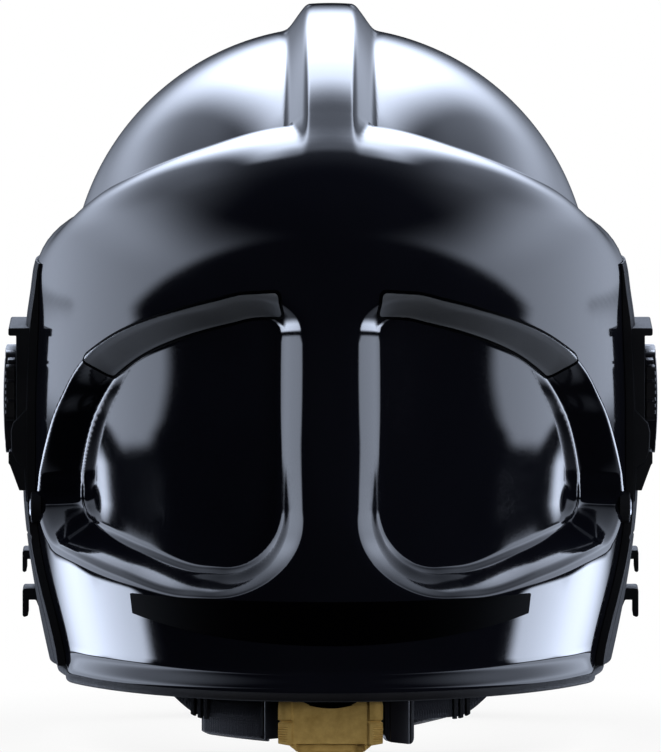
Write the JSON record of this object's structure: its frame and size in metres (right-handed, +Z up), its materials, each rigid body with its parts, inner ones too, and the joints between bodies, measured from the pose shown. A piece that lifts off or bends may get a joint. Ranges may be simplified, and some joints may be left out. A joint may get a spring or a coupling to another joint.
{
  "type": "firefighter helmet",
  "caption": "Jet-style structural firefighting helmet with crest, yoke band, recessed rear windows, side rails, hinged clear face shield, nape lever and buckled chin strap.",
  "frame": {"origin": "centre of the dome, which is the centre of the head cavity at the headband", "axes": "-Y is the wearer's forward direction, +X the wearer's left, +Z up"},
  "size_m": [0.262, 0.3052, 0.2915],
  "materials": {
    "shell_gloss": "gloss black moulded shell",
    "reflective_grey": "grey retroreflective film",
    "label_black": "blank black film",
    "plate_metal": "brushed, blank",
    "matte_black": "fine-grained moulding",
    "satin_black": "satin moulding",
    "rubber_black": "matte",
    "steel": "satin",
    "shield_clear": "clear, coated polycarbonate",
    "lamp_lens": "clear lens",
    "foam_grey": "moulded foam",
    "fabric_black": "padded knit",
    "webbing_black": "woven webbing",
    "lever_tan": "tan moulding with a metallic sheen",
    "button_red": "satin"
  },
  "bodies": {
    "helmet": {"adjuster_housing": "matte_black", "band_hanger_1": "matte_black", "band_hanger_2": "matte_black", "band_hanger_3": "matte_black", "band_hanger_4": "matte_black", "brow_pad": "fabric_black", "buckle_plug": "matte_black", "buckle_socket": "matte_black", "chin_anchor_left": "matte_black", "chin_anchor_right": "matte_black", "chin_pad": "fabric_black", "chin_strap_left": "webbing_black", "chin_strap_right": "webbing_black", "crest_lamp_housing": "matte_black", "crown_pad": "fabric_black", "energy_liner": "foam_grey", "front_plate": "plate_metal", "headband": "matte_black", "lamp_lens": "lamp_lens", "lever_pin": "steel", "mask_hook_left": "matte_black", "mask_hook_right": "matte_black", "nape_anchor_left": "matte_black", "nape_anchor_right": "matte_black", "nape_pad_left": "fabric_black", "nape_pad_right": "fabric_black", "nape_strap_left": "webbing_black", "nape_strap_right": "webbing_black", "outer_shell": "shell_gloss", "rail_cover_left": "satin_black", "rail_cover_right": "satin_black", "rear_label_plate": "label_black", "reflective_strip_left": "reflective_grey", "reflective_strip_right": "reflective_grey", "rim_trim": "rubber_black", "shield_pivot_left": "steel", "shield_pivot_right": "steel", "side_plate_left": "matte_black", "side_plate_right": "matte_black", "side_rail_left": "matte_black", "side_rail_right": "matte_black", "side_screw_left_1": "steel", "side_screw_left_2": "steel", "side_screw_right_1": "steel", "side_screw_right_2": "steel"},
    "shield": {"face_shield": "shield_clear", "shield_lift_tab": "matte_black"},
    "lever": {"adjuster_lever": "lever_tan"},
    "lamp_switch": {"lamp_button": "rubber_black"},
    "buckle_release": {"buckle_button": "button_red"},
    "latch_left": {"rail_latch_left": "rubber_black"},
    "latch_right": {"rail_latch_right": "rubber_black"}
  },
  "joints": [
    {"name": "shield_hinge", "type": "hinge", "parent": "helmet", "child": "shield", "pos_m": [0, 0.01, -0.045], "axis": [-1, 0, 0], "range_deg": [0, 44]},
    {"name": "lever_hinge", "type": "hinge", "parent": "helmet", "child": "lever", "pos_m": [0, 0.1145, -0.157], "axis": [1, 0, 0], "range_deg": [0, 50]},
    {"name": "lamp_button_press", "type": "slide", "parent": "helmet", "child": "lamp_switch", "axis": [0, 0.2733, -0.9619], "range_m": [0, 0.0011], "stiffness_N_per_m": 500},
    {"name": "buckle_button_press", "type": "slide", "parent": "helmet", "child": "buckle_release", "axis": [0.5622, 0.3071, 0.7678], "range_m": [0, 0.0012], "stiffness_N_per_m": 500},
    {"name": "rail_latch_left_slide", "type": "slide", "parent": "helmet", "child": "latch_left", "axis": [0, 0, -1], "range_m": [0, 0.006], "stiffness_N_per_m": 300},
    {"name": "rail_latch_right_slide", "type": "slide", "parent": "helmet", "child": "latch_right", "axis": [0, 0, -1], "range_m": [0, 0.006], "stiffness_N_per_m": 300}
  ]
}
